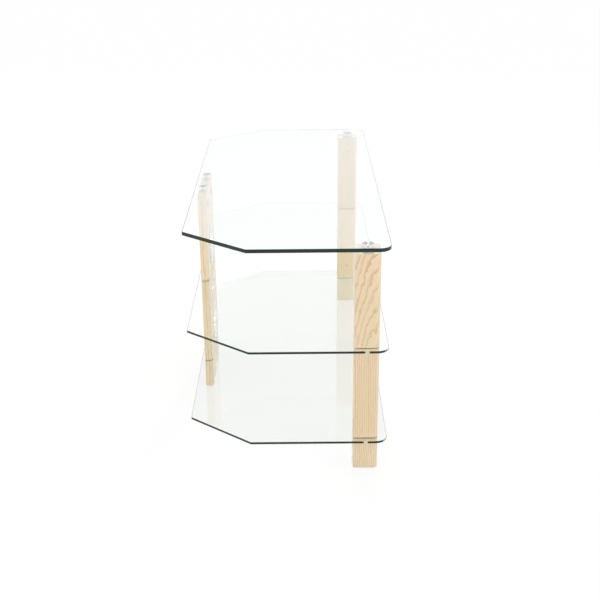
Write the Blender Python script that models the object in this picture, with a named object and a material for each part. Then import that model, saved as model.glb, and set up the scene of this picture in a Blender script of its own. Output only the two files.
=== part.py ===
"""Corner TV stand: three clear glass shelves on two front legs and one wide rear board.

Each leg, and the board, is cut by the glass into an upper section, a lower section and a foot. A tie
bolt on each of four upright axes clamps foot, glass, lower section and glass up to the upper section.
The top glass rests on polished pucks, whose pins drop into the wood. The stand rests on z = 0 with its
front towards -Y, and its origin is under the middle of the shelves. Lengths are in metres.
"""

import math
from collections import namedtuple

import bmesh
import bpy
from mathutils import Vector

# Gap between pieces that touch or fit into each other, and how far a cutter passes a face
CLEAR = 0.0003
OVERCUT = 0.001

# Largest gap between an arc and its straight facets
ARC_ERROR = 0.00012

# Sides of turned pieces. Sockets are hexagons, so those sides are a multiple of twelve
SCREW_SIDES = 12
SMALL_SIDES = 16
PUCK_SIDES = 32
PORT_SIDES = 64

# Glass shelves: a long front edge, straight sides, chamfers and a shorter rear edge
SHELF_WIDTH = 1.000
SHELF_DEPTH = 0.424
SHELF_SIDE = 0.2885
SHELF_REAR_WIDTH = 0.777
SHELF_FRONT_R = 0.025
SHELF_REAR_R = 0.004
TOP_GLASS = 0.008
SHELF_GLASS = 0.005
GLASS_ARRIS = 0.0006

# Front legs and rear board, with their insets from the glass edges
LEG_WIDTH = 0.047
LEG_DEPTH = 0.052
LEG_SIDE_INSET = 0.0155
LEG_FRONT_INSET = 0.0195
BOARD_WIDTH = 0.200
BOARD_THICKNESS = 0.019
BOARD_REAR_INSET = 0.0073
SECTION_LENGTH = 0.2043
FOOT_LENGTH = 0.068
FRONT_EDGE_R = 0.009
BACK_EDGE_R = 0.003
END_EASE = 0.0004

# Floor pads
PAD_THICKNESS = 0.002
PAD_CORNER_R = 0.005
PAD_EASE = 0.0004
LEG_PAD_WIDTH = 0.036
LEG_PAD_DEPTH = 0.038
BOARD_PAD_WIDTH = 0.060
BOARD_PAD_DEPTH = 0.013

# Cable port in each rear board: a bright ring with a thin flange on the board's front
PORT_R = 0.040
PORT_WALL = 0.0018
PORT_FLANGE_R = 0.045
PORT_FLANGE = 0.001
PORT_EASE = 0.0003
PORT_HEIGHT = 0.0533

# Tie bolts, their washers, and the inserts in the upper sections that they screw into
BOARD_BOLT_SPACING = 0.100
BOLT_R = 0.003
BOLT_TIP = 0.0008
BOLT_OVERRUN = 0.006
BOLT_SPARE = 0.002
HEAD_R = 0.005
HEAD_HEIGHT = 0.006
HEAD_RECESS = 0.002
HEAD_EASE = 0.0005
HEAD_SOCKET = 0.005
HEAD_SOCKET_DEPTH = 0.003
WASHER_R = 0.006
WASHER_THICKNESS = 0.0012
INSERT_R = 0.005
INSERT_LENGTH = 0.018

# Bushes that line the holes in the glass, trapped between the wood above and below
BUSH_WALL = 0.0014

# Pucks under the top glass, their pins, and the set screws that lock the pins
LEG_PUCK_R = 0.0122
BOARD_PUCK_R = 0.0094
PUCK_HEIGHT = 0.009
PUCK_EASE = 0.0006
PIN_R = 0.003
PIN_SOCKET = 0.005
PIN_DEPTH = 0.044
PIN_SPARE = 0.001
PIN_EASE = 0.0004
SET_DROP = 0.033
SET_SCREW_R = 0.0025
SET_SCREW_EASE = 0.0003
SET_RECESS = 0.0002
SET_SOCKET = 0.0025
SET_SOCKET_DEPTH = 0.002
SIDE_INSERT_R = 0.006
SIDE_INSERT_LENGTH = 0.0025

# Caps over the set screws: a plug in the wood and a thin flange proud of it
CAP_PLUG = 0.002
CAP_FLANGE = 0.0008
CAP_FLANGE_R = 0.0067

# Heights of the stack, from the floor up
FOOT_BASE = PAD_THICKNESS + CLEAR
BOTTOM_GLASS_BASE = FOOT_BASE + FOOT_LENGTH + CLEAR
LOWER_BASE = BOTTOM_GLASS_BASE + SHELF_GLASS + CLEAR
MIDDLE_GLASS_BASE = LOWER_BASE + SECTION_LENGTH + CLEAR
UPPER_BASE = MIDDLE_GLASS_BASE + SHELF_GLASS + CLEAR
UPPER_TOP = UPPER_BASE + SECTION_LENGTH
PUCK_BASE = UPPER_TOP + CLEAR
TOP_GLASS_BASE = PUCK_BASE + PUCK_HEIGHT + CLEAR

# Plan positions
LEG_X = SHELF_WIDTH / 2 - LEG_SIDE_INSET - LEG_WIDTH / 2
LEG_Y = -SHELF_DEPTH / 2 + LEG_FRONT_INSET + LEG_DEPTH / 2
BOARD_Y = SHELF_DEPTH / 2 - BOARD_REAR_INSET - BOARD_THICKNESS / 2

# Radii of holes
BOLT_HOLE_R = BOLT_R + CLEAR
BUSH_R = BOLT_HOLE_R + BUSH_WALL
PIN_HOLE_R = PIN_R + CLEAR
SET_SCREW_HOLE_R = SET_SCREW_R + CLEAR
PORT_RING_R = PORT_R + PORT_WALL

# An upright fixing axis. facing points from it to the wood's face that the set screw enters
Fixing = namedtuple("Fixing", "name x y facing to_face puck_r pad")
LEG_PAD = (LEG_PAD_WIDTH, LEG_PAD_DEPTH)
BOARD_PAD = (BOARD_PAD_WIDTH, BOARD_PAD_DEPTH)
BOLT_X = BOARD_BOLT_SPACING / 2
FRONT_LEFT = Fixing("front_left", -LEG_X, LEG_Y, (1, 0, 0), LEG_WIDTH / 2, LEG_PUCK_R, LEG_PAD)
FRONT_RIGHT = Fixing("front_right", LEG_X, LEG_Y, (-1, 0, 0), LEG_WIDTH / 2, LEG_PUCK_R, LEG_PAD)
REAR_LEFT = Fixing("rear_left", -BOLT_X, BOARD_Y, (0, -1, 0), BOARD_THICKNESS / 2, BOARD_PUCK_R, BOARD_PAD)
REAR_RIGHT = Fixing("rear_right", BOLT_X, BOARD_Y, (0, -1, 0), BOARD_THICKNESS / 2, BOARD_PUCK_R, BOARD_PAD)
FIXINGS = (FRONT_LEFT, FRONT_RIGHT, REAR_LEFT, REAR_RIGHT)

UP = (0, 0, 1)
FRONT = (0, -1, 0)


def material(name, colour, roughness, metallic=0.0, transmission=0.0):
    made = bpy.data.materials.new(name)
    made.use_nodes = True
    shader = made.node_tree.nodes["Principled BSDF"]
    shader.inputs["Base Color"].default_value = (*colour, 1.0)
    shader.inputs["Roughness"].default_value = roughness
    shader.inputs["Metallic"].default_value = metallic
    shader.inputs["Transmission Weight"].default_value = transmission
    return made


def skin(bm, loops, tube=False):
    """Joins equal loops of points with quads. A tube returns to its first loop, other stacks are capped."""
    pairs = list(zip(loops, loops[1:]))
    if tube:
        pairs.append((loops[-1], loops[0]))
    else:
        bm.faces.new(loops[0])
        bm.faces.new(loops[-1])
    count = len(loops[0])
    for lower, upper in pairs:
        for i in range(count):
            j = (i + 1) % count
            bm.faces.new((lower[i], lower[j], upper[j], upper[i]))
    bmesh.ops.recalc_face_normals(bm, faces=bm.faces)


def solid(name, bm, finish, place, axis=UP):
    """Turns a mesh into an object of the stand, at a place, with its own Z along an axis."""
    mesh = bpy.data.meshes.new(name)
    bm.to_mesh(mesh)
    bm.free()
    mesh.shade_smooth()
    mesh.set_sharp_from_angle(angle=math.radians(30))
    mesh.materials.append(finish)
    made = bpy.data.objects.new(name, mesh)
    bpy.context.scene.collection.objects.link(made)
    made.location = place
    made.rotation_euler = Vector(UP).rotation_difference(Vector(axis)).to_euler()
    made.parent = bpy.data.objects["corner_tv_stand"]
    return made


def rounded_outline(corners, radii, inset):
    """Points of a convex polygon, anticlockwise, with each corner an arc and each edge moved in by inset."""
    points = []
    for i, corner in enumerate(corners):
        corner = Vector(corner)
        before = (corner - Vector(corners[i - 1])).normalized()
        after = (Vector(corners[(i + 1) % len(corners)]) - corner).normalized()
        inward_before = Vector((-before.y, before.x))
        inward_after = Vector((-after.y, after.x))
        bisector = (inward_before + inward_after) / (1 + inward_before.dot(inward_after))
        centre = corner + bisector * radii[i]
        turn = before.angle(after)
        steps = max(2, math.ceil(turn / (2 * math.acos(1 - ARC_ERROR / radii[i]))))
        start = math.atan2(-inward_before.y, -inward_before.x)
        for step in range(steps + 1):
            angle = start + turn * step / steps
            points.append(centre + Vector((math.cos(angle), math.sin(angle))) * (radii[i] - inset))
    return points


def prism(name, corners, radii, height, ease, finish, place):
    """A solid of one rounded outline, with a narrow chamfer round both ends."""
    bm = bmesh.new()
    loops = []
    for z, inset in ((0, ease), (ease, 0), (height - ease, 0), (height, ease)):
        loops.append([bm.verts.new((*point, z)) for point in rounded_outline(corners, radii, inset)])
    skin(bm, loops)
    return solid(name, bm, finish, place)


def rectangle(width, depth):
    x, y = width / 2, depth / 2
    return ((-x, -y), (x, -y), (x, y), (-x, y))


def ring(bm, radius, z, sides, hexagon=False):
    """A loop of points round Z: a circle, or a hexagon whose flats lie at this radius."""
    loop = []
    for side in range(sides):
        angle = 2 * math.pi * side / sides
        reach = radius
        if hexagon:
            reach /= math.cos(angle % (math.pi / 3) - math.pi / 6)
        loop.append(bm.verts.new((reach * math.cos(angle), reach * math.sin(angle), z)))
    return loop


def turned(name, rings, sides, finish, place, axis=UP, tube=False):
    """A solid of revolution through rings of (radius, height) or (radius, height, hexagon)."""
    bm = bmesh.new()
    skin(bm, [ring(bm, spec[0], spec[1], sides, *spec[2:]) for spec in rings], tube)
    return solid(name, bm, finish, place, axis)


def cut(target, rings, sides, place, axis=UP):
    """Cuts a turned hole out of a solid."""
    name = f"{target.name}_hole_{len(target.modifiers) + 1}"
    cutter = turned(name, rings, sides, target.data.materials[0], place, axis)
    cutter.hide_render = True
    cutter.display_type = "WIRE"
    hole = target.modifiers.new(name, "BOOLEAN")
    hole.operation = "DIFFERENCE"
    hole.solver = "EXACT"
    hole.object = cutter


# Glass shelves


def glass_shelf(name, base, thickness, finish):
    front, rear = -SHELF_DEPTH / 2, SHELF_DEPTH / 2
    half, rear_half = SHELF_WIDTH / 2, SHELF_REAR_WIDTH / 2
    chamfer = front + SHELF_SIDE
    corners = (
        (-half, front),
        (half, front),
        (half, chamfer),
        (rear_half, rear),
        (-rear_half, rear),
        (-half, chamfer),
    )
    radii = (SHELF_FRONT_R,) * 2 + (SHELF_REAR_R,) * 4
    return prism(name, corners, radii, thickness, GLASS_ARRIS, finish, (0, 0, base))


def drilled_shelf(name, base, finish):
    """A shelf with a hole for a bush on each fixing axis."""
    shelf = glass_shelf(name, base, SHELF_GLASS, finish)
    hole_r = BUSH_R + CLEAR
    for fixing in FIXINGS:
        rings = ((hole_r, -OVERCUT), (hole_r, SHELF_GLASS + OVERCUT))
        cut(shelf, rings, SMALL_SIDES, (fixing.x, fixing.y, base))


# Wooden sections


def wood_section(name, width, depth, base, length, finish, place):
    radii = (FRONT_EDGE_R, FRONT_EDGE_R, BACK_EDGE_R, BACK_EDGE_R)
    return prism(name, rectangle(width, depth), radii, length, END_EASE, finish, (*place, base))


def drill_foot(foot, fixing):
    """A bolt hole with a counterbore for the bolt's head and washer."""
    head_room = HEAD_RECESS + HEAD_HEIGHT + CLEAR + WASHER_THICKNESS + CLEAR
    wide = WASHER_R + CLEAR
    end = FOOT_LENGTH + OVERCUT
    rings = ((wide, -OVERCUT), (wide, head_room), (BOLT_HOLE_R, head_room), (BOLT_HOLE_R, end))
    cut(foot, rings, SMALL_SIDES, (fixing.x, fixing.y, FOOT_BASE))


def drill_lower(section, fixing):
    """A bolt hole right through."""
    rings = ((BOLT_HOLE_R, -OVERCUT), (BOLT_HOLE_R, SECTION_LENGTH + OVERCUT))
    cut(section, rings, SMALL_SIDES, (fixing.x, fixing.y, LOWER_BASE))


def drill_upper(section, fixing):
    """A seat for the bolt's insert below, a pin hole above and a stepped hole for the set screw."""
    wide = INSERT_R + CLEAR
    seat = INSERT_LENGTH + 2 * CLEAR
    end = CLEAR + INSERT_LENGTH + BOLT_OVERRUN + BOLT_SPARE
    rings = ((wide, -OVERCUT), (wide, seat), (BOLT_HOLE_R, seat), (BOLT_HOLE_R, end))
    cut(section, rings, SMALL_SIDES, (fixing.x, fixing.y, UPPER_BASE))

    rings = ((PIN_HOLE_R, -PIN_DEPTH - PIN_SPARE), (PIN_HOLE_R, OVERCUT))
    cut(section, rings, SMALL_SIDES, (fixing.x, fixing.y, UPPER_TOP))

    wide = SIDE_INSERT_R + CLEAR
    seat = fixing.to_face - CAP_PLUG - SIDE_INSERT_LENGTH - 3 * CLEAR
    mouth = fixing.to_face + OVERCUT
    rings = ((SET_SCREW_HOLE_R, 0), (SET_SCREW_HOLE_R, seat), (wide, seat), (wide, mouth))
    cut(section, rings, SMALL_SIDES, (fixing.x, fixing.y, UPPER_TOP - SET_DROP), fixing.facing)


def cut_port(board, base):
    hole_r = PORT_RING_R + CLEAR
    reach = BOARD_THICKNESS / 2 + OVERCUT
    cut(board, ((hole_r, -reach), (hole_r, reach)), PORT_SIDES, (0, BOARD_Y, base + PORT_HEIGHT), FRONT)


def build_leg(fixing, finish):
    """A front leg: upper section, lower section and foot on one fixing axis."""
    size = (LEG_WIDTH, LEG_DEPTH)
    place = (fixing.x, fixing.y)
    upper = wood_section(f"{fixing.name}_upper_leg", *size, UPPER_BASE, SECTION_LENGTH, finish, place)
    lower = wood_section(f"{fixing.name}_lower_leg", *size, LOWER_BASE, SECTION_LENGTH, finish, place)
    foot = wood_section(f"{fixing.name}_foot", *size, FOOT_BASE, FOOT_LENGTH, finish, place)
    drill_upper(upper, fixing)
    drill_lower(lower, fixing)
    drill_foot(foot, fixing)


def build_board(finish):
    """The rear board: upper section, lower section and foot on two fixing axes, with two cable ports."""
    size = (BOARD_WIDTH, BOARD_THICKNESS)
    place = (0, BOARD_Y)
    upper = wood_section("rear_upper_board", *size, UPPER_BASE, SECTION_LENGTH, finish, place)
    lower = wood_section("rear_lower_board", *size, LOWER_BASE, SECTION_LENGTH, finish, place)
    foot = wood_section("rear_foot_board", *size, FOOT_BASE, FOOT_LENGTH, finish, place)
    for fixing in (REAR_LEFT, REAR_RIGHT):
        drill_upper(upper, fixing)
        drill_lower(lower, fixing)
        drill_foot(foot, fixing)
    cut_port(upper, UPPER_BASE)
    cut_port(lower, LOWER_BASE)


# Cable ports


def cable_ring(name, base, finish):
    """A tube through the board with a thin flange lying on the board's front."""
    face = BOARD_THICKNESS / 2 + CLEAR
    nose = face + PORT_FLANGE
    rings = (
        (PORT_R, -BOARD_THICKNESS / 2),
        (PORT_RING_R, -BOARD_THICKNESS / 2),
        (PORT_RING_R, face),
        (PORT_FLANGE_R, face),
        (PORT_FLANGE_R, nose - PORT_EASE),
        (PORT_FLANGE_R - PORT_EASE, nose),
        (PORT_R + PORT_EASE, nose),
        (PORT_R, nose - PORT_EASE),
    )
    turned(name, rings, PORT_SIDES, finish, (0, BOARD_Y, base + PORT_HEIGHT), FRONT, tube=True)


# Fastenings on one upright axis


def sleeve(name, inner, outer, length, finish, place, axis=UP):
    rings = ((inner, 0), (outer, 0), (outer, length), (inner, length))
    turned(name, rings, SMALL_SIDES, finish, place, axis, tube=True)


def tie_bolt(fixing, finish):
    """A long bolt whose socket head lies in the foot and whose end lies in the upper section."""
    base = FOOT_BASE + HEAD_RECESS
    length = UPPER_BASE + CLEAR + INSERT_LENGTH + BOLT_OVERRUN - base
    rings = (
        (HEAD_SOCKET / 2, HEAD_SOCKET_DEPTH, True),
        (HEAD_SOCKET / 2, 0, True),
        (HEAD_R - HEAD_EASE, 0),
        (HEAD_R, HEAD_EASE),
        (HEAD_R, HEAD_HEIGHT),
        (BOLT_R, HEAD_HEIGHT),
        (BOLT_R, length - BOLT_TIP),
        (BOLT_R - BOLT_TIP, length),
    )
    turned(f"{fixing.name}_tie_bolt", rings, SCREW_SIDES, finish, (fixing.x, fixing.y, base))
    washer_base = base + HEAD_HEIGHT + CLEAR
    washer_place = (fixing.x, fixing.y, washer_base)
    sleeve(f"{fixing.name}_bolt_washer", BOLT_HOLE_R, WASHER_R, WASHER_THICKNESS, finish, washer_place)


def bush(name, fixing, base, finish):
    """A plain bush as long as the glass is thick."""
    place = (fixing.x, fixing.y, base)
    sleeve(f"{fixing.name}_{name}", BOLT_HOLE_R, BUSH_R, SHELF_GLASS, finish, place)


def puck(fixing, chrome, steel):
    """A polished puck under the top glass and the pin that hangs from it."""
    radius = fixing.puck_r
    rings = (
        (PIN_HOLE_R, PIN_SOCKET),
        (PIN_HOLE_R, 0),
        (radius - PUCK_EASE, 0),
        (radius, PUCK_EASE),
        (radius, PUCK_HEIGHT - PUCK_EASE),
        (radius - PUCK_EASE, PUCK_HEIGHT),
    )
    turned(f"{fixing.name}_puck", rings, PUCK_SIDES, chrome, (fixing.x, fixing.y, PUCK_BASE))
    base = UPPER_TOP - PIN_DEPTH
    length = PUCK_BASE + PIN_SOCKET - CLEAR - base
    rings = ((PIN_R - PIN_EASE, 0), (PIN_R, PIN_EASE), (PIN_R, length - PIN_EASE), (PIN_R - PIN_EASE, length))
    turned(f"{fixing.name}_puck_pin", rings, SMALL_SIDES, steel, (fixing.x, fixing.y, base))


def set_screw(fixing, finish):
    """A round insert below the wood's inner face and the socket screw in it, against the pin."""
    height = UPPER_TOP - SET_DROP
    facing = Vector(fixing.facing)
    axis_place = Vector((fixing.x, fixing.y, height))
    mouth = fixing.to_face - CAP_PLUG - 2 * CLEAR
    insert_place = axis_place + facing * (mouth - SIDE_INSERT_LENGTH)
    sleeve(
        f"{fixing.name}_side_insert",
        SET_SCREW_HOLE_R,
        SIDE_INSERT_R,
        SIDE_INSERT_LENGTH,
        finish,
        insert_place,
        fixing.facing,
    )
    tip = PIN_R + CLEAR
    end = mouth - SET_RECESS
    rings = (
        (SET_SCREW_R - SET_SCREW_EASE, tip),
        (SET_SCREW_R, tip + SET_SCREW_EASE),
        (SET_SCREW_R, end - SET_SCREW_EASE),
        (SET_SCREW_R - SET_SCREW_EASE, end),
        (SET_SOCKET / 2, end, True),
        (SET_SOCKET / 2, end - SET_SOCKET_DEPTH, True),
    )
    turned(f"{fixing.name}_set_screw", rings, SCREW_SIDES, finish, axis_place, fixing.facing)


def screw_cap(fixing, finish):
    """A cap that closes the set screw's hole, with its flange on the wood's face."""
    plug_end = CAP_PLUG + 2 * CLEAR
    rings = (
        (SIDE_INSERT_R, 0),
        (SIDE_INSERT_R, plug_end),
        (CAP_FLANGE_R, plug_end),
        (CAP_FLANGE_R, plug_end + CAP_FLANGE),
    )
    height = UPPER_TOP - SET_DROP
    place = Vector((fixing.x, fixing.y, height)) + Vector(fixing.facing) * (fixing.to_face - CAP_PLUG - CLEAR)
    turned(f"{fixing.name}_screw_cap", rings, SMALL_SIDES, finish, place, fixing.facing)


def floor_pad(fixing, finish):
    radii = (PAD_CORNER_R,) * 4
    place = (fixing.x, fixing.y, 0)
    prism(f"{fixing.name}_floor_pad", rectangle(*fixing.pad), radii, PAD_THICKNESS, PAD_EASE, finish, place)


def clear_scene():
    for old in list(bpy.data.objects):
        bpy.data.objects.remove(old)


def main():
    clear_scene()
    stand = bpy.data.objects.new("corner_tv_stand", None)
    bpy.context.scene.collection.objects.link(stand)

    glass = material("clear glass", (0.93, 0.97, 0.95), 0.02, transmission=1.0)
    wood = material("pale ash", (0.774, 0.610, 0.413), 0.42)
    chrome = material("polished chrome", (0.85, 0.86, 0.87), 0.08, metallic=1.0)
    steel = material("zinc plated steel", (0.56, 0.56, 0.55), 0.35, metallic=1.0)
    nylon = material("clear nylon", (0.80, 0.82, 0.80), 0.5)
    felt = material("pale felt", (0.78, 0.77, 0.74), 0.95)
    plastic = material("wood-coloured plastic", (0.79, 0.64, 0.44), 0.5)

    glass_shelf("top_glass_shelf", TOP_GLASS_BASE, TOP_GLASS, glass)
    drilled_shelf("middle_glass_shelf", MIDDLE_GLASS_BASE, glass)
    drilled_shelf("bottom_glass_shelf", BOTTOM_GLASS_BASE, glass)
    build_leg(FRONT_LEFT, wood)
    build_leg(FRONT_RIGHT, wood)
    build_board(wood)
    cable_ring("upper_cable_ring", UPPER_BASE, chrome)
    cable_ring("lower_cable_ring", LOWER_BASE, chrome)
    for fixing in FIXINGS:
        puck(fixing, chrome, steel)
        set_screw(fixing, steel)
        screw_cap(fixing, plastic)
        insert_place = (fixing.x, fixing.y, UPPER_BASE + CLEAR)
        sleeve(f"{fixing.name}_bolt_insert", BOLT_HOLE_R, INSERT_R, INSERT_LENGTH, steel, insert_place)
        bush("middle_bush", fixing, MIDDLE_GLASS_BASE, nylon)
        bush("bottom_bush", fixing, BOTTOM_GLASS_BASE, nylon)
        tie_bolt(fixing, steel)
        floor_pad(fixing, felt)


main()
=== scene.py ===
"""Looks of the corner TV stand: clear glass shelves, pale ash legs, polished pucks, camera and studio.

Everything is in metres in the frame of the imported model: +X along the stand, -Y to its front, +Z up.
The camera stands beyond the left end and looks along the stand, from above.
"""

import math

import bmesh
import bpy
from mathutils import Matrix, Vector


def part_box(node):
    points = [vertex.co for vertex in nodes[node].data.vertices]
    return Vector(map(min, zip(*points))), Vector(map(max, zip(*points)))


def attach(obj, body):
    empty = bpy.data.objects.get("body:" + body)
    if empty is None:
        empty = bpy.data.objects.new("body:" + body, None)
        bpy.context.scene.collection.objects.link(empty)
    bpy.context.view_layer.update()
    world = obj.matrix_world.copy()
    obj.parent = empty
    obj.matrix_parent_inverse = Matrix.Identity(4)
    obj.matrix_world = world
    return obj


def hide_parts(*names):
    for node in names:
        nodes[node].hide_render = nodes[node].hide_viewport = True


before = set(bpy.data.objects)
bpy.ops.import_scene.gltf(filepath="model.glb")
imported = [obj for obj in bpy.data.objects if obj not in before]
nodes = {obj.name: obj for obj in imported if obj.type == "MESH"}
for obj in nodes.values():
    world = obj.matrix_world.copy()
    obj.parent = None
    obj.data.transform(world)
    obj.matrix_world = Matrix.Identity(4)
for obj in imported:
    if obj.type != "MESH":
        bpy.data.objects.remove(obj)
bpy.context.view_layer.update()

BODY = "root"
CORNERS = ("front_left", "front_right", "rear_left", "rear_right")

# Camera: place, angles in radians and focal length in pixels of a picture 600 pixels wide
CAMERA_PLACE = (-2.4397, -0.0283, 1.2062)
CAMERA_PITCH = 0.39385
CAMERA_YAW = -0.00080
CAMERA_ROLL = -0.00817
FOCAL_PIXELS = 1054.34
PICTURE_PIXELS = 600
SENSOR_MM = 36.0

# Glass: each sheet's tint, weight of gloss coat and long edge from inside, then what all sheets share; the
# bottom sheet's darker tint is painted shade, for the shaded floor beneath the stand
GLASS_SHEETS = {
    "top_glass_shelf": ((0.990, 0.990, 0.990), 1.0, (0.36, 0.38, 0.37)),
    "middle_glass_shelf": ((1.000, 1.000, 1.000), 0.4, (0.62, 0.65, 0.63)),
    # The bottom sheet's darker tint is painted shade of the floor beneath
    "bottom_glass_shelf": ((0.925, 0.930, 0.915), 0.0, (0.80, 0.83, 0.81)),
}
GLASS_EDGE = (0.16, 0.24, 0.20)
GLASS_EDGE_CLEAR = 0.80
GLASS_EDGE_INSIDE_CLEAR = 0.15
GLASS_END_INSIDE = (0.88, 0.90, 0.89)
# Pale spots in the drilled sheets' cut edges are painted light, for the bushes lit through the sheet: their
# colour, clear share and reach
GLASS_BUSH_LIGHT = (0.90, 0.92, 0.78)
GLASS_BUSH_CLEAR = 0.40
BUSH_REACH = 0.060
GLASS_IOR = 1.52
GLASS_GLEAM = (0.94, 0.98, 1.0)
GLASS_EDGE_GLEAM = (0.10, 0.14, 0.13)
GLASS_BODY = (0.40, 0.85, 0.62)
GLASS_DENSITY = 3.0
GLASS_LIT = (0.975, 0.985, 0.98)

# Ash: two ground tones, the dark start of a yearly ring, the open pores in it and the tint of end grain,
# which is partly painted shade on the level ends
ASH_STRAW = (0.820, 0.690, 0.455)
ASH_PEACH = (0.890, 0.685, 0.475)
ASH_GRAIN = (0.620, 0.420, 0.225)
ASH_PORE = (0.460, 0.300, 0.160)
ASH_END_AND_SHADE = (0.76, 0.83, 0.94)
ASH_BAND = 0.80
ASH_PORES = 0.40

# Each wooden section: its pith in plan from its centre, the pith's tilt, ring width, seed and a colour factor
# that is partly the section's own tone and partly painted light and shade for how brightly the section is lit
SECTIONS = {
    "front_left_upper_leg": ((0.0465, -0.028), (0.0, -0.143), 0.0057, 1.3, (0.965, 0.965, 0.955)),
    "front_left_lower_leg": ((0.050, -0.150), (0.020, 0.010), 0.0042, 2.9, (0.950, 0.935, 0.925)),
    "front_left_foot": ((0.030, -0.120), (0.050, 0.030), 0.0046, 4.1, (0.905, 0.910, 0.905)),
    "front_right_upper_leg": ((-0.080, -0.140), (0.020, -0.030), 0.0044, 5.7, (0.965, 0.990, 1.020)),
    "front_right_lower_leg": ((-0.060, 0.120), (0.015, 0.020), 0.0048, 6.2, (1.015, 1.055, 1.085)),
    "front_right_foot": ((-0.080, -0.120), (0.030, 0.020), 0.0044, 7.7, (0.950, 1.050, 1.110)),
    "rear_upper_board": ((0.020, 0.090), (0.030, 0.040), 0.0047, 8.9, (1.020, 1.040, 1.075)),
    "rear_lower_board": ((-0.015, -0.110), (0.030, -0.050), 0.0045, 9.5, (0.940, 0.960, 0.970)),
    "rear_foot_board": ((0.030, 0.085), (0.020, 0.030), 0.0046, 10.6, (0.980, 1.010, 1.065)),
}

# Metals: polished chrome, the dull turned tops of the pucks, painted darker than any metal as a painted dark
# reflection, the brighter rings and zinc
CHROME = (0.86, 0.87, 0.88)
TURNED_TOP_SHADE = (0.17, 0.17, 0.175)
BRIGHT = (0.97, 0.97, 0.965)
ZINC = (0.60, 0.60, 0.59)

# Bushes and pads: a dark and a pale tone each
NYLON_DARK = (0.78, 0.81, 0.78)
NYLON_PALE = (0.88, 0.89, 0.86)
FELT_DARK = (0.66, 0.65, 0.62)
FELT_PALE = (0.86, 0.85, 0.82)

# Screw caps: two close tones, the width and colour of a painted shade line at the rim, and the plane of a
# face turned to Y or X
CAP_DARK = (0.80, 0.65, 0.44)
CAP_PALE = (0.88, 0.70, 0.49)
CAP_RIM = 0.0032
CAP_RIM_SHADE = (0.16, 0.11, 0.07)
CAP_FACES = ((1.0, 0.0, 1.0), (0.0, 1.0, 1.0))

# Turned pieces that replace faceted ones
PUCK_EDGE_R = 0.0007
PUCK_EDGE_HOLD = 0.0001
PUCK_HOLE_R = 0.0033
PUCK_HOLE_DEPTH = 0.005
PUCK_MIDDLE_R = 0.0001
PUCK_SEGMENTS = 96
EDGE_SEGMENTS = 5
RING_BORE_R = 0.040
RING_TUBE_R = 0.0418
RING_FLANGE = 0.001
RING_EDGE_R = 0.0004
RING_SEGMENTS = 128

# Studio: share of the floor that is plain white where it is seen, and the light of the world
FLOOR_SIZE = 60.0
FLOOR_WHITE = 0.80
FLOOR_COLOUR = (0.97, 0.97, 0.97)
WORLD_LIGHT = 1.0

# Lamps: the point that they are turned to, then each one's place, width, height and glow
LAMP_AIM = (0.0, 0.0, 0.3)
LAMPS = {
    "strip_softbox": ((2.0, -0.33, 2.3), 0.10, 0.8, 168.0),
    "near_softbox": ((-2.9, -2.2, 1.5), 2.4, 2.4, 1.8),
}

# A dark card on the floor before the stand, which only polished surfaces show
CARD_LOW = (-2.30, -0.52)
CARD_HIGH = (-0.57, 0.44)
CARD_LIFT = 0.004
CARD_COLOUR = (0.03, 0.03, 0.03)


# Node helpers


def new_material(name):
    """A node material and its Principled shader."""
    made = bpy.data.materials.new(name)
    made.use_nodes = True
    return made, made.node_tree.nodes["Principled BSDF"]


class Nodes:
    """Adds nodes to a tree. An input may be a number, a tuple or the output of another node."""

    def __init__(self, tree):
        self.tree = tree

    def add(self, kind, inputs=(), **settings):
        node = self.tree.nodes.new(kind)
        for key, value in settings.items():
            setattr(node, key, value)
        for key, value in dict(inputs).items():
            self.feed(node.inputs[key], value)
        return node

    def feed(self, socket, value):
        if isinstance(value, bpy.types.NodeSocket):
            self.tree.links.new(value, socket)
        else:
            socket.default_value = value

    def math(self, operation, first, second=0.0, clamp=False):
        node = self.add("ShaderNodeMath", {0: first, 1: second}, operation=operation, use_clamp=clamp)
        return node.outputs[0]

    def noise(self, vector, scale, detail=2.0, roughness=0.5, distortion=0.0):
        inputs = {"Vector": vector, "Scale": scale, "Detail": detail, "Roughness": roughness}
        inputs["Distortion"] = distortion
        return self.add("ShaderNodeTexNoise", inputs).outputs["Fac"]

    def stretch(self, vector, scale):
        node = self.add("ShaderNodeVectorMath", {0: vector, 1: scale}, operation="MULTIPLY")
        return node.outputs[0]

    def shift(self, vector, offset):
        node = self.add("ShaderNodeVectorMath", {0: vector, 1: offset}, operation="ADD")
        return node.outputs[0]

    def mix(self, factor, first, second):
        node = self.add("ShaderNodeMix", data_type="RGBA")
        self.feed(node.inputs[0], factor)
        self.feed(node.inputs[6], first)
        self.feed(node.inputs[7], second)
        return node.outputs[2]

    def span(self, value, low, high, to_low=0.0, to_high=1.0):
        inputs = {0: value, 1: low, 2: high, 3: to_low, 4: to_high}
        return self.add("ShaderNodeMapRange", inputs, interpolation_type="SMOOTHSTEP").outputs[0]

    def bump(self, height, strength, distance):
        inputs = {"Height": height, "Strength": strength, "Distance": distance}
        return self.add("ShaderNodeBump", inputs).outputs[0]

    def object_place(self):
        return self.add("ShaderNodeTexCoord").outputs["Object"]

    def normal(self):
        return self.add("ShaderNodeNewGeometry").outputs["True Normal"]

    def height(self, vector):
        return self.add("ShaderNodeSeparateXYZ", {0: vector}).outputs["Z"]

    def flatness(self):
        """1 on level faces, 0 on upright ones."""
        return self.math("ABSOLUTE", self.height(self.normal()))


def rgba(colour):
    return (*colour, 1.0)


# Materials


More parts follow.
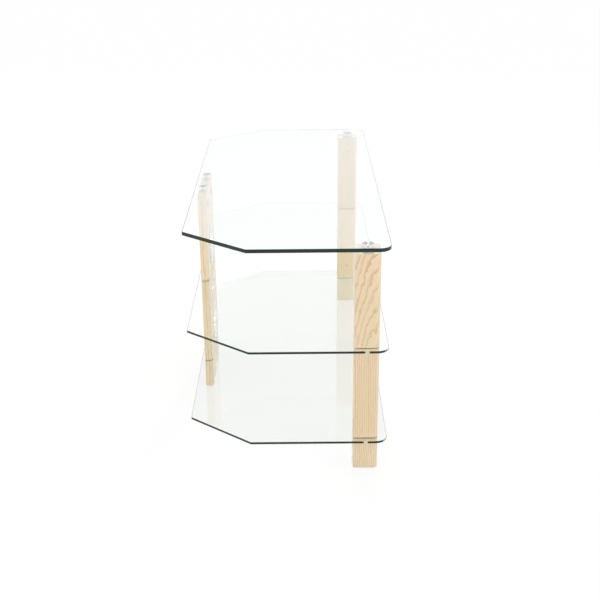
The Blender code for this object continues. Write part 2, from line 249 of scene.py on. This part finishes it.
def painted_bush_light(net):
    """1 on the cut edge where a bush lies straight behind it, within reach: the place of a pale spot of
    painted light, for the lit bush seen through the edge.
    """
    place, normal = net.object_place(), net.normal()
    bush_light = 0.0
    for corner in CORNERS:
        low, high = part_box(f"{corner}_middle_bush")
        centre = (low + high) / 2
        radius = (high.x - low.x) / 2
        away = net.shift(place, -centre)
        across = net.add("ShaderNodeVectorMath", {0: away, 1: normal}, operation="CROSS_PRODUCT")
        aside = net.math("ABSOLUTE", net.height(across.outputs["Vector"]))
        ahead = net.add("ShaderNodeVectorMath", {0: away, 1: normal}, operation="DOT_PRODUCT")
        near = net.span(ahead.outputs["Value"], 0.8 * BUSH_REACH, BUSH_REACH, 1.0, 0.0)
        spot = net.math("MULTIPLY", net.span(aside, 0.6 * radius, 1.2 * radius, 1.0, 0.0), near)
        bush_light = net.math("MAXIMUM", bush_light, spot)
    return bush_light


def clear_glass(name, drilled, tint, coat, edge_inside):
    """Float glass: faint tint through its faces, green where the sheet is cut, darker over long paths."""
    made, shader = new_material(name)
    net = Nodes(made.node_tree)
    face = net.span(net.flatness(), 0.75, 0.95)
    inside = net.add("ShaderNodeNewGeometry").outputs["Backfacing"]
    facing = net.add("ShaderNodeSeparateXYZ", {0: net.normal()}).outputs
    sides = net.math("SUBTRACT", net.math("ABSOLUTE", facing["Y"]), net.math("ABSOLUTE", facing["X"]))
    long = net.span(sides, 0.1, 0.5)
    edge = net.mix(inside, rgba(GLASS_EDGE), net.mix(long, rgba(GLASS_END_INSIDE), rgba(edge_inside)))
    clear = net.span(inside, 0.0, 1.0, GLASS_EDGE_CLEAR, GLASS_EDGE_INSIDE_CLEAR)
    if coat:
        net.feed(shader.inputs["Coat Weight"], net.math("MULTIPLY", face, coat))
        shader.inputs["Coat Roughness"].default_value = 0.0
    # Drilled sheets get pale spots of painted light in the cut edge, for the bushes lit through the sheet
    if drilled:
        bush_light = painted_bush_light(net)
        edge = net.mix(bush_light, edge, rgba(GLASS_BUSH_LIGHT))
        clear = net.math("MINIMUM", clear, net.span(bush_light, 0.0, 1.0, 1.0, GLASS_BUSH_CLEAR))
    net.feed(shader.inputs["Base Color"], net.mix(face, edge, rgba(tint)))
    net.feed(shader.inputs["Transmission Weight"], net.math("MAXIMUM", clear, face))
    shader.inputs["Roughness"].default_value = 0.0
    shader.inputs["IOR"].default_value = GLASS_IOR
    net.feed(shader.inputs["Specular Tint"], net.mix(face, rgba(GLASS_EDGE_GLEAM), rgba(GLASS_GLEAM)))

    # Light from the lamps and from matt surfaces goes straight through
    path = net.add("ShaderNodeLightPath").outputs
    lighting = net.math("MAXIMUM", path["Is Shadow Ray"], path["Is Diffuse Ray"])
    through = net.add("ShaderNodeBsdfTransparent", {"Color": rgba(GLASS_LIT)})
    blend = net.add("ShaderNodeMixShader", {0: lighting, 1: shader.outputs[0], 2: through.outputs[0]})
    body = net.add("ShaderNodeVolumeAbsorption", {"Color": rgba(GLASS_BODY), "Density": GLASS_DENSITY})
    output = made.node_tree.nodes["Material Output"]
    net.feed(output.inputs["Surface"], blend.outputs[0])
    net.feed(output.inputs["Volume"], body.outputs[0])
    return made


def pale_ash(name, centre, pith, tilt, ring, seed, tone_and_light):
    """Ash whose yearly rings, of this width, lie round a tilted axis at pith, in plan from the centre."""
    made, shader = new_material(name)
    net = Nodes(made.node_tree)
    axis = centre + Vector((*pith, 0.0))
    grown = net.add("ShaderNodeVectorMath", {0: net.object_place(), 1: axis}, operation="SUBTRACT").outputs[0]
    lean = {0: grown, 4: (*tilt, 0.0)}
    turned = net.add("ShaderNodeVectorRotate", lean, rotation_type="EULER_XYZ").outputs[0]
    drift = net.shift(turned, (seed, 2 * seed, 3 * seed))

    # Rings wander slowly, and more slowly along the trunk than across it, with small jogs
    wander = net.noise(net.stretch(drift, (1.0, 1.0, 0.28)), 25.0, 2.0, 0.45)
    shake = net.noise(net.stretch(drift, (1.0, 1.0, 0.55)), 110.0, 3.0, 0.55)
    flat = net.stretch(turned, (1.0, 1.0, 0.0))
    radius = net.add("ShaderNodeVectorMath", {0: flat}, operation="LENGTH").outputs["Value"]
    rings = net.math("DIVIDE", radius, ring)
    rings = net.math("ADD", rings, net.math("MULTIPLY", wander, 1.6))
    rings = net.math("ADD", rings, net.math("MULTIPLY", shake, 1.1))
    phase = net.math("FRACT", rings)
    year = net.noise(net.add("ShaderNodeCombineXYZ", {2: net.math("FLOOR", rings)}).outputs[0], 3.7, 0.0)

    # A ring starts with a band of open pores and pales towards its end
    rise = net.span(phase, 0.0, 0.10)
    fall = net.span(phase, 0.10, 0.55, 1.0, 0.0)
    band = net.math("MULTIPLY", net.math("MULTIPLY", rise, fall), net.span(year, 0.25, 0.7, 0.45, 1.0))

    # Pores and fibres are drawn out along the trunk
    fibre = net.noise(net.stretch(drift, (1.0, 1.0, 0.022)), 1500.0, 3.0, 0.6)
    pore = net.noise(net.stretch(drift, (1.0, 1.0, 0.035)), 820.0, 2.0, 0.5)
    pores = net.math("MULTIPLY", net.span(pore, 0.55, 0.72), net.math("ADD", band, 0.18))
    tone = net.noise(net.stretch(drift, (1.0, 1.0, 0.15)), 70.0, 3.0, 0.55)

    ground = net.mix(net.span(tone, 0.32, 0.68), rgba(ASH_STRAW), rgba(ASH_PEACH))
    ground = net.mix(net.math("MULTIPLY", net.span(fibre, 0.35, 0.75), 0.22), ground, rgba(ASH_GRAIN))
    grained = net.mix(net.math("MULTIPLY", band, ASH_BAND), ground, rgba(ASH_GRAIN))
    colour = net.mix(net.math("MULTIPLY", pores, ASH_PORES), grained, rgba(ASH_PORE))
    # The section's colour factor is partly its own tone and partly painted light and shade
    cut = net.stretch(colour, [first * second for first, second in zip(tone_and_light, ASH_END_AND_SHADE)])
    long = net.stretch(colour, tone_and_light)
    # Level ends get the end-grain tint: end grain's own darker colour and painted shade
    net.feed(shader.inputs["Base Color"], net.mix(net.span(net.flatness(), 0.75, 0.95), long, cut))
    rough = net.math("ADD", net.math("MULTIPLY", band, 0.10), net.math("MULTIPLY", fibre, 0.08))
    net.feed(shader.inputs["Roughness"], net.math("ADD", rough, 0.38))
    depth = net.math("SUBTRACT", net.math("MULTIPLY", fibre, 0.35), pores)
    net.feed(shader.inputs["Normal"], net.bump(depth, 0.12, 0.0002))
    shader.inputs["Coat Weight"].default_value = 0.6
    shader.inputs["Coat Roughness"].default_value = 0.18
    return made


def bare_metal(name, colour, smooth, rough, brush):
    """Metal whose gloss varies with fine marks, drawn out along Z where brush is small."""
    made, shader = new_material(name)
    net = Nodes(made.node_tree)
    place = net.object_place()
    marks = net.noise(net.stretch(place, (1.0, 1.0, brush)), 900.0, 3.0, 0.6)
    haze = net.noise(place, 70.0, 3.0, 0.55)
    worn = net.math("ADD", net.math("MULTIPLY", marks, 0.6), net.math("MULTIPLY", haze, 0.4))
    dull = [0.94 * part for part in colour]
    net.feed(shader.inputs["Roughness"], net.span(worn, 0.3, 0.7, smooth, rough))
    net.feed(shader.inputs["Base Color"], net.mix(net.span(haze, 0.3, 0.7), rgba(colour), rgba(dull)))
    net.feed(shader.inputs["Normal"], net.bump(marks, 0.04, 0.00005))
    shader.inputs["Metallic"].default_value = 1.0
    return made


def turned_chrome():
    """Polished chrome with turning marks round its middle, left dull on the upper face, whose colour is
    painted dark as a painted dark reflection.
    """
    made, shader = new_material("turned_chrome")
    net = Nodes(made.node_tree)
    top = net.span(net.height(net.normal()), 0.6, 0.95)
    haze = net.noise(net.object_place(), 400.0, 3.0, 0.55)
    smooth = net.span(haze, 0.3, 0.7, 0.03, 0.08)
    net.feed(shader.inputs["Roughness"], net.math("ADD", smooth, net.math("MULTIPLY", top, 0.20)))
    # The upper face's dark colour is a painted dark reflection; its extra roughness is its own turned finish
    net.feed(shader.inputs["Base Color"], net.mix(top, rgba(CHROME), rgba(TURNED_TOP_SHADE)))
    round_axis = net.add("ShaderNodeTangent", direction_type="RADIAL", axis="Z")
    net.feed(shader.inputs["Tangent"], round_axis.outputs[0])
    shader.inputs["Anisotropic"].default_value = 1.0
    shader.inputs["Anisotropic Rotation"].default_value = 0.25
    shader.inputs["Metallic"].default_value = 1.0
    return made


def cloudy_plastic(name, dark, pale, scale, smooth, rough):
    """Moulded plastic with a faint cloud in its colour and gloss, and light that sinks in a little."""
    made, shader = new_material(name)
    net = Nodes(made.node_tree)
    cloud = net.noise(net.object_place(), scale, 3.0)
    net.feed(shader.inputs["Base Color"], net.mix(cloud, rgba(dark), rgba(pale)))
    net.feed(shader.inputs["Roughness"], net.span(cloud, 0.3, 0.7, smooth, rough))
    shader.inputs["Subsurface Weight"].default_value = 0.3
    shader.inputs["Subsurface Scale"].default_value = 0.002
    return made


def screw_cap(node):
    """Moulded cap in the wood's colour, with painted shade as a dark line round its rim, darkest below."""
    low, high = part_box(node)
    made = cloudy_plastic(f"{node}_plastic", CAP_DARK, CAP_PALE, 500.0, 0.4, 0.55)
    shader = made.node_tree.nodes["Principled BSDF"]
    net = Nodes(made.node_tree)
    cloud = shader.inputs["Base Color"].links[0].from_socket
    radius = (high.z - low.z) / 2
    away = net.shift(net.object_place(), -(low + high) / 2)
    flat = net.stretch(away, CAP_FACES[high.x - low.x < high.y - low.y])
    reach = net.add("ShaderNodeVectorMath", {0: flat}, operation="LENGTH").outputs["Value"]
    # Painted shade: a dark line round the rim, strongest on the lower side, where a proud cap's shadow falls
    rim = net.span(reach, radius - CAP_RIM, radius - 0.6 * CAP_RIM)
    shade_below = net.span(net.height(away), -radius, 0.2 * radius, 1.0, 0.05)
    rim_shade = net.math("MULTIPLY", rim, shade_below)
    net.feed(shader.inputs["Base Color"], net.mix(rim_shade, cloud, rgba(CAP_RIM_SHADE)))
    return made


def pale_felt():
    made, shader = new_material("pale_felt")
    net = Nodes(made.node_tree)
    hairs = net.noise(net.object_place(), 1400.0, 4.0, 0.7, 1.5)
    net.feed(shader.inputs["Base Color"], net.mix(hairs, rgba(FELT_DARK), rgba(FELT_PALE)))
    net.feed(shader.inputs["Normal"], net.bump(hairs, 0.5, 0.0004))
    shader.inputs["Roughness"].default_value = 0.95
    shader.inputs["Sheen Weight"].default_value = 0.3
    return made


def dress(names, material):
    """Gives CAD nodes a finish."""
    for name in names:
        nodes[name].material_slots[0].material = material


# Turned pieces


def lathe(name, profile, segments, place, axis, material):
    """A closed ring of profile points (radius, height) turned about an axis through place."""
    bm = bmesh.new()
    turn = Vector((0, 0, 1)).rotation_difference(Vector(axis)).to_matrix()
    loops = []
    for radius, height in profile:
        loop = []
        for i in range(segments):
            angle = 2 * math.pi * i / segments
            point = Vector((radius * math.cos(angle), radius * math.sin(angle), height))
            loop.append(bm.verts.new(turn @ point + Vector(place)))
        loops.append(loop)
    for lower, upper in zip(loops, loops[1:] + loops[:1]):
        for i in range(segments):
            j = (i + 1) % segments
            bm.faces.new((lower[i], lower[j], upper[j], upper[i]))
    bmesh.ops.recalc_face_normals(bm, faces=bm.faces)
    mesh = bpy.data.meshes.new(name)
    bm.to_mesh(mesh)
    bm.free()
    mesh.shade_smooth()
    mesh.set_sharp_from_angle(angle=math.radians(35))
    mesh.materials.append(material)
    made = bpy.data.objects.new(name, mesh)
    bpy.context.scene.collection.objects.link(made)
    return made


def rounded(corner, before, after, radius):
    """Points of an arc that rounds a corner of a profile between two directions."""
    corner, before, after = Vector(corner), Vector(before), Vector(after)
    points = []
    for step in range(EDGE_SEGMENTS + 1):
        t = step / EDGE_SEGMENTS * math.pi / 2
        points.append(corner + before * radius * (1 - math.sin(t)) + after * radius * (1 - math.cos(t)))
    return [tuple(point) for point in points]


def stand_in(piece, node):
    """Puts a smooth piece in a CAD node's place."""
    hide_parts(node)
    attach(piece, BODY)


def smooth_puck(node, material):
    low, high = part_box(node)
    centre = (low + high) / 2
    radius = (high.x - low.x) / 2
    height = high.z - low.z
    inset = PUCK_EDGE_R + PUCK_EDGE_HOLD
    profile = [(PUCK_HOLE_R, 0.0), (radius - inset, 0.0)]
    profile += rounded((radius, 0.0), (-1, 0), (0, 1), PUCK_EDGE_R)
    profile += [(radius, inset), (radius, height - inset)]
    profile += rounded((radius, height), (0, -1), (-1, 0), PUCK_EDGE_R)
    profile += [(radius - inset, height), (PUCK_MIDDLE_R, height)]
    profile += [(PUCK_MIDDLE_R, PUCK_HOLE_DEPTH), (PUCK_HOLE_R, PUCK_HOLE_DEPTH)]
    place = (centre.x, centre.y, low.z)
    stand_in(lathe(f"{node}_smooth", profile, PUCK_SEGMENTS, place, (0, 0, 1), material), node)


def smooth_ring(node, material):
    low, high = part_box(node)
    centre = (low + high) / 2
    flange_r = (high.x - low.x) / 2
    length = high.y - low.y
    profile = [(RING_BORE_R, 0.0), (RING_TUBE_R, 0.0), (RING_TUBE_R, length - RING_FLANGE)]
    profile += [(flange_r, length - RING_FLANGE)]
    profile += rounded((flange_r, length), (0, -1), (-1, 0), RING_EDGE_R)
    profile += rounded((RING_BORE_R, length), (1, 0), (0, -1), RING_EDGE_R)
    place = (centre.x, high.y, centre.z)
    stand_in(lathe(f"{node}_smooth", profile, RING_SEGMENTS, place, (0, -1, 0), material), node)


# Studio


def camera_matrix():
    ahead = Vector((
        math.cos(CAMERA_PITCH) * math.cos(CAMERA_YAW),
        math.cos(CAMERA_PITCH) * math.sin(CAMERA_YAW),
        -math.sin(CAMERA_PITCH),
    ))
    right = Vector((math.sin(CAMERA_YAW), -math.cos(CAMERA_YAW), 0.0))
    up = right.cross(ahead)
    rolled_right = right * math.cos(CAMERA_ROLL) + up * math.sin(CAMERA_ROLL)
    rolled_up = up * math.cos(CAMERA_ROLL) - right * math.sin(CAMERA_ROLL)
    turn = Matrix((rolled_right, rolled_up, -ahead)).transposed().to_4x4()
    return Matrix.Translation(CAMERA_PLACE) @ turn


def add_camera():
    data = bpy.data.cameras.new("photo_camera")
    data.sensor_width = SENSOR_MM
    data.lens = FOCAL_PIXELS * SENSOR_MM / PICTURE_PIXELS
    data.clip_end = 200.0
    made = bpy.data.objects.new("photo_camera", data)
    made.matrix_world = camera_matrix()
    bpy.context.scene.collection.objects.link(made)
    bpy.context.scene.camera = made


def seen_directly(net):
    """1 for rays that look at a surface: from the camera, a mirror or through glass."""
    path = net.add("ShaderNodeLightPath").outputs
    mirrored = net.math("MAXIMUM", path["Is Glossy Ray"], path["Is Transmission Ray"])
    return net.math("MAXIMUM", path["Is Camera Ray"], mirrored)


def add_world():
    world = bpy.data.worlds.new("studio")
    bpy.context.scene.world = world
    world.use_nodes = True
    background = world.node_tree.nodes["Background"]
    background.inputs["Color"].default_value = (1.0, 1.0, 1.0, 1.0)
    background.inputs["Strength"].default_value = WORLD_LIGHT


def stage_sheet(name, low, high, height, material):
    """A flat rectangle of the studio, not of the stand."""
    mesh = bpy.data.meshes.new(name)
    corners = ((low[0], low[1]), (high[0], low[1]), (high[0], high[1]), (low[0], high[1]))
    mesh.from_pydata([(x, y, height) for x, y in corners], [], [(0, 1, 2, 3)])
    mesh.materials.append(material)
    made = bpy.data.objects.new(name, mesh)
    bpy.context.scene.collection.objects.link(made)
    return made


def add_floor():
    made, shader = new_material("studio_floor")
    net = Nodes(made.node_tree)
    shader.inputs["Base Color"].default_value = rgba(FLOOR_COLOUR)
    shader.inputs["Roughness"].default_value = 0.9
    shader.inputs["Specular IOR Level"].default_value = 0.0
    white = net.add("ShaderNodeEmission", {"Color": (1.0, 1.0, 1.0, 1.0), "Strength": 1.0})
    share = net.math("MULTIPLY", seen_directly(net), FLOOR_WHITE)
    blend = net.add("ShaderNodeMixShader", {0: share, 1: shader.outputs[0], 2: white.outputs[0]})
    net.feed(made.node_tree.nodes["Material Output"].inputs["Surface"], blend.outputs[0])
    half = FLOOR_SIZE / 2
    stage_sheet("floor", (-half, -half), (half, half), 0.0, made)


def add_card():
    made, shader = new_material("dark_card")
    shader.inputs["Base Color"].default_value = rgba(CARD_COLOUR)
    shader.inputs["Roughness"].default_value = 0.9
    card = stage_sheet("dark_card", CARD_LOW, CARD_HIGH, CARD_LIFT, made)
    card.visible_camera = False
    card.visible_diffuse = False
    card.visible_transmission = False
    card.visible_shadow = False


def add_softbox(name, place, width, height, glow):
    """A rectangular lamp at a place, with this power per square metre."""
    data = bpy.data.lights.new(name, "AREA")
    data.shape = "RECTANGLE"
    data.size = width
    data.size_y = height
    data.energy = glow * width * height
    made = bpy.data.objects.new(name, data)
    made.location = place
    made.rotation_euler = (Vector(LAMP_AIM) - Vector(place)).to_track_quat("-Z", "Y").to_euler()
    bpy.context.scene.collection.objects.link(made)


# Every CAD node's finish

pucks = turned_chrome()
bright = bare_metal("bright_chrome", BRIGHT, 0.08, 0.14, 1.0)
zinc = bare_metal("zinc_steel", ZINC, 0.22, 0.42, 0.1)
nylon = cloudy_plastic("clear_nylon", NYLON_DARK, NYLON_PALE, 260.0, 0.35, 0.5)
felt = pale_felt()

for shelf, looks in GLASS_SHEETS.items():
    dress((shelf,), clear_glass(f"clear_{shelf}", shelf != "top_glass_shelf", *looks))
for section, growth in SECTIONS.items():
    low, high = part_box(section)
    dress((section,), pale_ash(f"ash_{section}", (low + high) / 2, *growth))
for corner in CORNERS:
    dress((f"{corner}_middle_bush", f"{corner}_bottom_bush"), nylon)
    dress((f"{corner}_floor_pad",), felt)
    dress((f"{corner}_screw_cap",), screw_cap(f"{corner}_screw_cap"))
    for hidden in ("puck_pin", "side_insert", "set_screw", "bolt_insert", "tie_bolt", "bolt_washer"):
        dress((f"{corner}_{hidden}",), zinc)
    smooth_puck(f"{corner}_puck", pucks)
for port in ("upper_cable_ring", "lower_cable_ring"):
    smooth_ring(port, bright)

add_camera()
add_world()
add_floor()
add_card()
for lamp, setting in LAMPS.items():
    add_softbox(lamp, *setting)
bpy.context.scene.view_settings.view_transform = "Standard"
